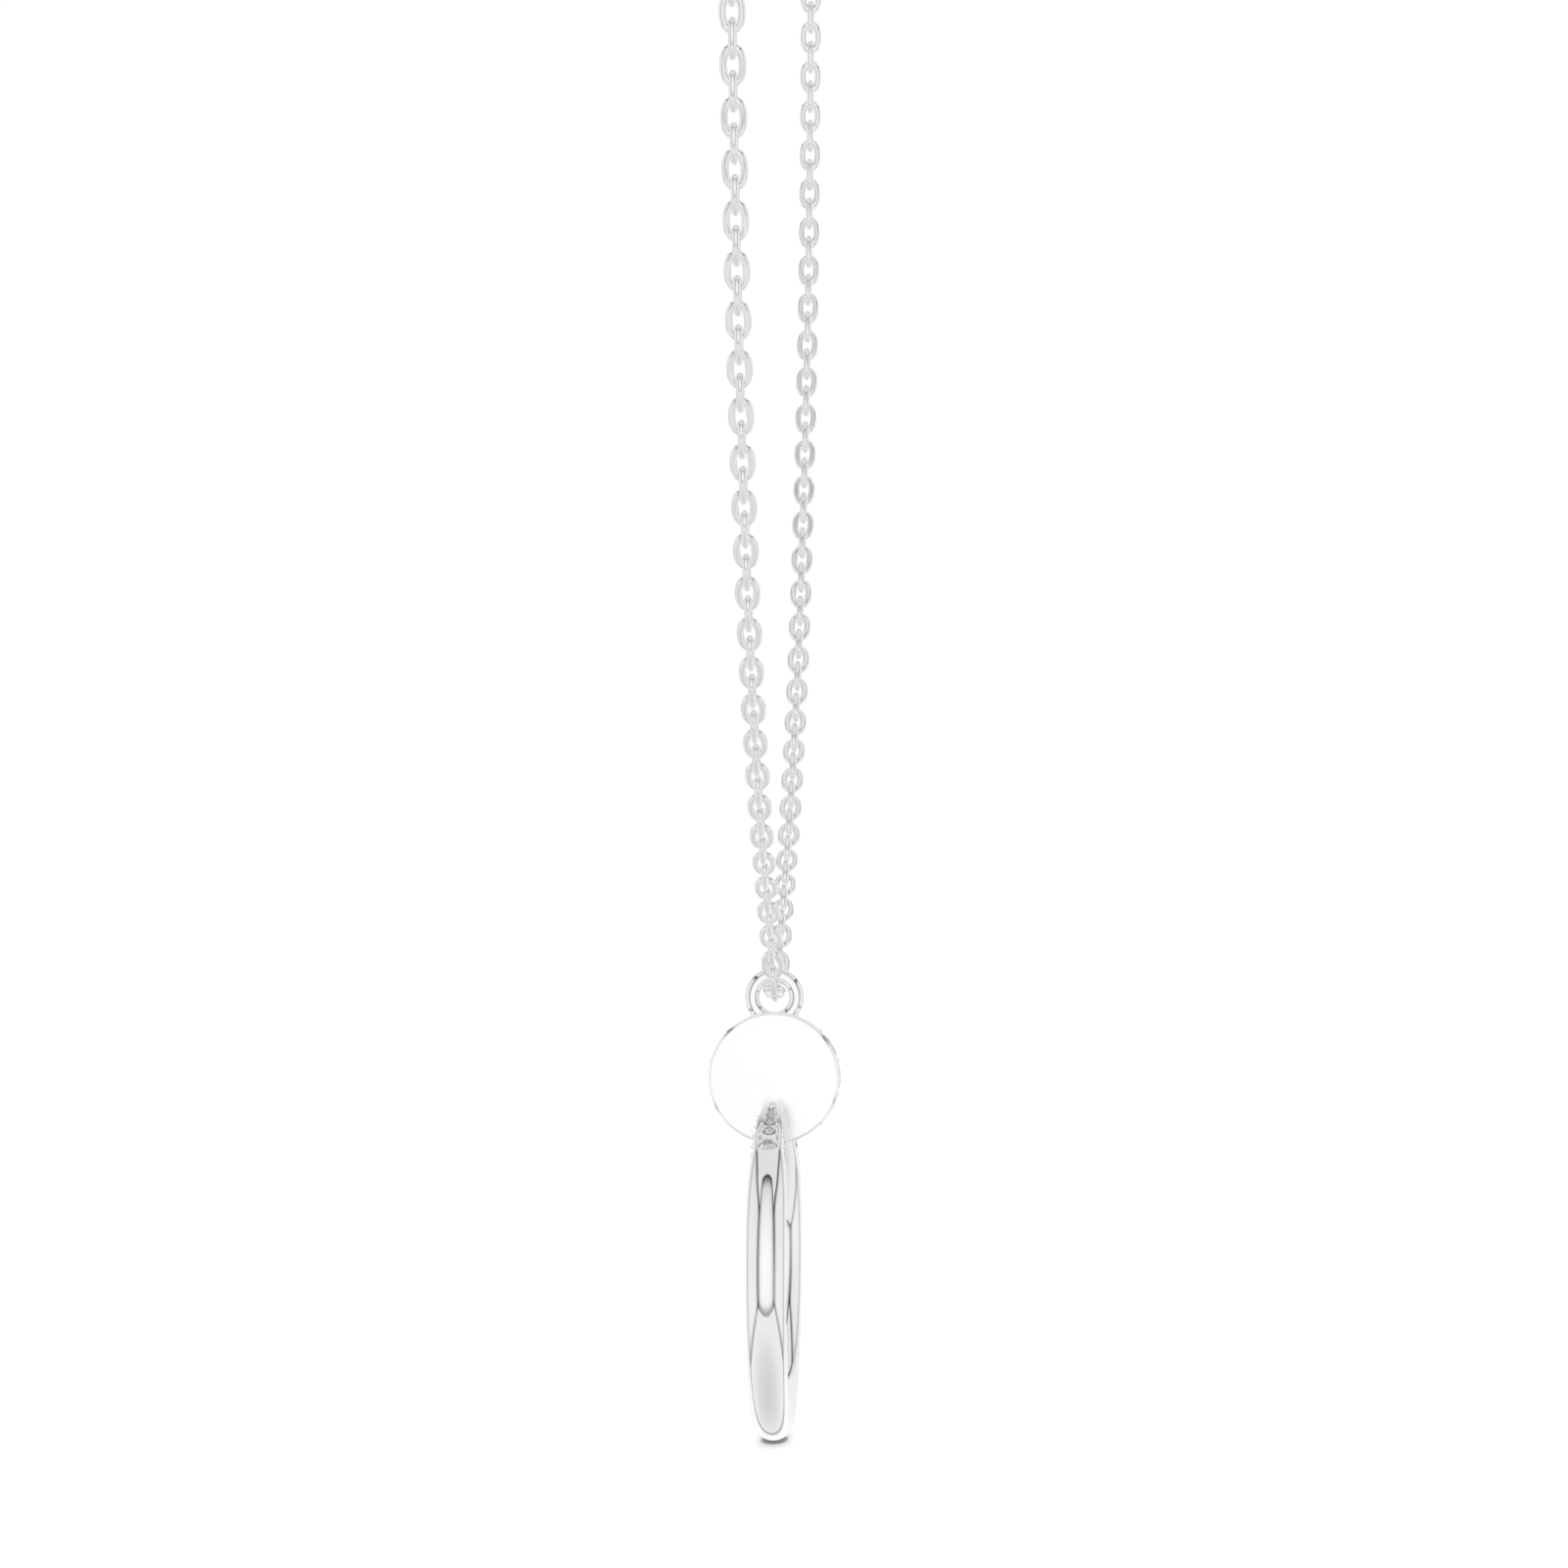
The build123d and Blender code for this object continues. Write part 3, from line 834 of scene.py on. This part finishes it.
    def beads(self):
        turn = np.radians(np.linspace(0, 80, 7))
        points, faces = [], []
        for place, normal, proud in horn_bead_spots() + disc_bead_spots():
            head = np.stack([np.cos(turn), proud / BEAD_RADIUS - 1 + np.sin(turn)], 1) * BEAD_RADIUS
            shape, one = lathe([(BEAD_RADIUS, BEAD_FOOT), *head], 16)
            faces += copied_faces(one, len(points) * len(shape))
            points.append(turned_upright(shape, normal, place))
        return np.concatenate(points), faces


class NECKLACE_OT_add_chain(bpy.types.Operator):
    """Add the chain's links, along the smooth route that the CAD tube follows"""
    bl_idname = "necklace.add_chain"
    bl_label = "Add chain links"

    def execute(self, context):
        chain = context.scene.necklace_chain
        metal = context.scene.necklace_metal
        material = metal_material(
            "Chain metal", metal.chain_colour, metal.chain_roughness, spread=0.06, bump=0.15)
        segments, sides = 32, 12
        shape = ring_points((chain.link_length - chain.wire) / 2, (chain.link_width - chain.wire) / 2,
                            LINK_OVAL, segments, chain.wire, sides)
        half = chain.pitch / 2
        reach = np.array([math.cos(chain.middle_tilt), 0, math.sin(chain.middle_tilt)]) * half
        middle = np.array([0, 0, chain.middle_height])
        right_start, left_start = middle + reach, middle - reach
        route = [*CHAIN_ROUTE, CHAIN_END]
        mirrored = [(-x, z) for x, z in reversed(route)]
        points = spline_points(mirrored + route)
        right_line = points[points[:, 0] >= 0]
        left_line = points[points[:, 0] <= 0][::-1].copy()
        left_line[:, 1] += chain.left_aside * np.clip(-left_line[:, 0] / chain.link_length, 0, 1)
        right = placed_links(fitted_contacts(right_line, right_start, chain.pitch), 1, shape)
        left = placed_links(fitted_contacts(left_line, left_start, chain.pitch), 1, shape)
        right = placed_links([left_start, right_start], 0, shape) + right
        for name, rings in (("right_chain_links", right), ("left_chain_links", left)):
            piece = joined_rings(name, rings, segments, sides, material)
            piece.visible_glossy = False
            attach(piece, "necklace")
            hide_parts("chain")
        print("links", len(left), len(right))
        return {"FINISHED"}


class NECKLACE_OT_add_clasp(bpy.types.Operator):
    """Dress the clasp and add the two jump rings that hold the chain's ends to it"""
    bl_idname = "necklace.add_clasp"
    bl_label = "Dress clasp, add jump rings"

    def execute(self, context):
        metal = context.scene.necklace_metal
        material = metal_material(
            "Clasp metal", metal.chain_colour, metal.roughness, spread=0.03, bump=0.1)
        dress("clasp", material)
        segments, sides = 48, 16
        shape = MM * ring_points(
            JUMP_RING_RADIUS, JUMP_RING_RADIUS, ROUND, segments, JUMP_RING_WIRE, sides)
        for name, side in (("right_jump_ring", 1), ("left_jump_ring", -1)):
            lean = Matrix.Rotation(side * math.radians(JUMP_RING_LEAN), 3, "Y")
            place = [side * JUMP_RING_ASIDE * MM, 0, -JUMP_RING_DROP * MM]
            ring = shape @ np.array(lean.transposed()) + place
            piece = joined_rings(name, [ring], segments, sides, material)
            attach(piece, "necklace")
        return {"FINISHED"}


class NECKLACE_OT_dress_stones(bpy.types.Operator):
    """Give every cut stone its clear material"""
    bl_idname = "necklace.dress_stones"
    bl_label = "Dress stones"

    def execute(self, context):
        material = stone_material("Cut stone", context.scene.necklace_stone.colour)
        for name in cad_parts:
            if "stone" in name:
                dress(name, material)
        return {"FINISHED"}


class NECKLACE_OT_add_studio(bpy.types.Operator):
    """Add the pale floor, the soft studio light and the camera"""
    bl_idname = "necklace.add_studio"
    bl_label = "Add studio"

    def execute(self, context):
        studio = context.scene.necklace_studio
        self.add_floor(studio)
        self.add_light(context.scene, studio)
        self.add_camera(context.scene, studio)
        context.scene.view_settings.view_transform = "Standard"
        return {"FINISHED"}

    def add_floor(self, studio):
        half = studio.floor_size / 2
        height = (FLOOR_HEIGHT - FLOOR_GAP) * MM
        material, tree, shader = new_material("Pale floor")
        place = add_node(tree, "ShaderNodeTexCoord").outputs["Object"]
        cloud = add_node(tree, "ShaderNodeTexNoise", {"Vector": place, "Scale": 40.0})
        tint = add_node(
            tree, "ShaderNodeMix",
            {"Factor": cloud.outputs["Fac"], 6: (*studio.floor_colour, 1), 7: (0.96, 0.96, 0.96, 1)},
            data_type="RGBA")
        # Painted contact shadow: ambient occlusion darkens the floor's colour where the hoop nearly
        # touches it
        painted_contact_shadow = add_node(tree, "ShaderNodeAmbientOcclusion", {"Distance": 0.00033}, samples=8)
        dark = blend_range(tree, painted_contact_shadow.outputs["AO"], 0.45, 1.0, 0.3, 1.0)
        floor_with_painted_shadow = add_node(
            tree, "ShaderNodeVectorMath", {0: tint.outputs[2], "Scale": dark}, operation="SCALE")
        tree.links.new(floor_with_painted_shadow.outputs[0], shader.inputs["Base Color"])
        shader.inputs["Roughness"].default_value = 0.9
        shader.inputs["Specular IOR Level"].default_value = 0.0
        shader.inputs["Emission Color"].default_value = (1, 1, 1, 1)
        shader.inputs["Emission Strength"].default_value = 0.05
        corners = [(-half, -half, height), (half, -half, height), (half, half, height),
                   (-half, half, height)]
        floor = new_piece("floor", corners, [(0, 1, 2, 3)], material)
        floor.visible_glossy = False

    def add_light(self, scene, studio):
        world = bpy.data.worlds.new("Soft studio")
        scene.world = world
        world.use_nodes = True
        tree = world.node_tree
        tree.nodes.clear()
        direction = add_node(tree, "ShaderNodeTexCoord").outputs["Generated"]
        azimuth = studio.azimuth
        axes = {
            "front": (math.sin(azimuth), -math.cos(azimuth), 0.0),
            "right": (math.cos(azimuth), math.sin(azimuth), 0.0),
            "up": (0.0, 0.0, 1.0),
        }
        along = {}
        for name, axis in axes.items():
            dot = add_node(tree, "ShaderNodeVectorMath", {0: direction, 1: axis},
                           operation="DOT_PRODUCT")
            along[name] = dot.outputs["Value"]
        to_front = along["front"]
        to_back = math_node(tree, "DIVIDE", along["front"], -ROOM_BACK)
        to_right = math_node(tree, "DIVIDE", along["right"], ROOM_RIGHT)
        to_left = math_node(tree, "DIVIDE", along["right"], -ROOM_LEFT)
        ends = math_node(tree, "MAXIMUM", to_front, to_back)
        sides = math_node(tree, "MAXIMUM", to_right, to_left)
        wall = math_node(tree, "MAXIMUM", ends, sides)
        on_front = math_node(tree, "GREATER_THAN", to_front, sides)
        on_back = math_node(tree, "GREATER_THAN", to_back, sides)
        tall = math_node(tree, "MULTIPLY_ADD", on_front, FRONT_RISE, 1.0)
        to_ceiling = math_node(tree, "DIVIDE", along["up"], tall)
        to_floor = math_node(tree, "DIVIDE", along["up"], -ROOM_FLOOR)
        on_ceiling = math_node(tree, "GREATER_THAN", to_ceiling, wall)
        on_floor = math_node(tree, "GREATER_THAN", to_floor, wall)

        side_light = math_node(tree, "MULTIPLY_ADD", along["up"], -0.12, 0.90)
        front_light = blend_range(tree, along["front"], 0.5, 1.0, 0.68, 1.05)
        floor_light = blend_range(tree, along["up"], -1.0, -0.62, 0.69, 0.90)
        back_light = blend_range(tree, along["up"], -0.4, -0.1, 1.05, 0.92)
        light = mix_values(tree, on_front, side_light, front_light)
        light = mix_values(tree, on_back, light, back_light)
        light = mix_values(tree, on_ceiling, light, CEILING_LIGHT)
        light = mix_values(tree, on_floor, light, floor_light)

        corner = closeness(tree, ends, sides)
        corner_gap = blend_range(tree, corner, CORNER_REACH, 1.0, 0.0, 1.0, "SMOOTHSTEP")
        high = blend_range(tree, along["up"], -0.1, 0.45, 0.55, 0.88)
        right_side = math_node(tree, "GREATER_THAN", along["right"], 0.0)
        corner_depth = mix_values(tree, right_side, LEFT_CORNER_DEPTH, high)
        front_half = math_node(tree, "GREATER_THAN", along["front"], 0.0)
        corner_depth = mix_values(tree, front_half, BACK_CORNER_DEPTH, corner_depth)
        upright = math_node(tree, "MAXIMUM", on_ceiling, on_floor)
        corner_depth = mix_values(tree, upright, corner_depth, 0.0)
        light = shade_gap(tree, light, corner_gap, corner_depth)
        for panel, beyond, reach, depth in (
                (to_floor, on_floor, *FLOOR_PANEL_GAP), (to_ceiling, on_ceiling, *CEILING_PANEL_GAP)):
            near = mix_values(tree, beyond, reach, NARROW_REACH)
            gap = blend_range(tree, closeness(tree, wall, panel), near, 1.0, 0.0, 1.0, "SMOOTHSTEP")
            light = shade_gap(tree, light, gap, depth)

        rays = add_node(tree, "ShaderNodeLightPath")
        lift = math_node(tree, "MULTIPLY_ADD", rays.outputs["Is Diffuse Ray"], DIFFUSE_LIFT, 1.0)
        light = math_node(tree, "MULTIPLY", light, lift)
        seen = mix_values(tree, rays.outputs["Is Camera Ray"], light, BACKGROUND_LIGHT)
        background = add_node(
            tree, "ShaderNodeBackground", {"Color": (1, 1, 1, 1), "Strength": seen})
        add_node(tree, "ShaderNodeOutputWorld", {"Surface": background.outputs[0]})

    def add_camera(self, scene, studio):
        lens = bpy.data.cameras.new("camera")
        lens.lens = studio.lens
        lens.sensor_width = 36.0
        lens.clip_start = 0.001
        camera = bpy.data.objects.new("camera", lens)
        azimuth = studio.azimuth
        toward = Vector((math.sin(azimuth), -math.cos(azimuth), 0))
        beside = Vector((math.cos(azimuth), math.sin(azimuth), 0))
        camera.location = toward * studio.distance + beside * studio.aside
        camera.location.z = studio.height
        camera.rotation_euler = (math.pi / 2, 0, azimuth)
        scene.collection.objects.link(camera)
        scene.camera = camera


class NECKLACE_PT_panel(bpy.types.Panel):
    """Buttons for the necklace's pieces, with their settings"""
    bl_label = "Necklace"
    bl_space_type = "VIEW_3D"
    bl_region_type = "UI"
    bl_category = "Necklace"

    def draw(self, context):
        for settings, operators in PANEL_ROWS:
            box = self.layout.box()
            for operator in operators:
                box.operator(operator.bl_idname)
            group = getattr(context.scene, settings)
            for name in group.bl_rna.properties.keys():
                if name not in ("rna_type", "name"):
                    box.prop(group, name)


PANEL_ROWS = (
    ("necklace_metal", (NECKLACE_OT_add_metal, NECKLACE_OT_add_clasp)),
    ("necklace_stone", (NECKLACE_OT_dress_stones,)),
    ("necklace_chain", (NECKLACE_OT_add_chain,)),
    ("necklace_studio", (NECKLACE_OT_add_studio,)),
)
SETTINGS = {
    "necklace_chain": ChainSettings,
    "necklace_metal": MetalSettings,
    "necklace_stone": StoneSettings,
    "necklace_studio": StudioSettings,
}
OPERATORS = (
    NECKLACE_OT_add_metal,
    NECKLACE_OT_dress_stones,
    NECKLACE_OT_add_chain,
    NECKLACE_OT_add_clasp,
    NECKLACE_OT_add_studio,
)


def register():
    for settings in SETTINGS.values():
        bpy.utils.register_class(settings)
    for name, settings in SETTINGS.items():
        setattr(bpy.types.Scene, name, bpy.props.PointerProperty(type=settings))
    for operator in OPERATORS:
        bpy.utils.register_class(operator)
    bpy.utils.register_class(NECKLACE_PT_panel)


def unregister():
    bpy.utils.unregister_class(NECKLACE_PT_panel)
    for operator in reversed(OPERATORS):
        bpy.utils.unregister_class(operator)
    for name, settings in SETTINGS.items():
        delattr(bpy.types.Scene, name)
        bpy.utils.unregister_class(settings)


def main():
    register()
    bpy.ops.necklace.add_metal()
    bpy.ops.necklace.dress_stones()
    bpy.ops.necklace.add_chain()
    bpy.ops.necklace.add_clasp()
    bpy.ops.necklace.add_studio()


if __name__ == "__main__":
    main()
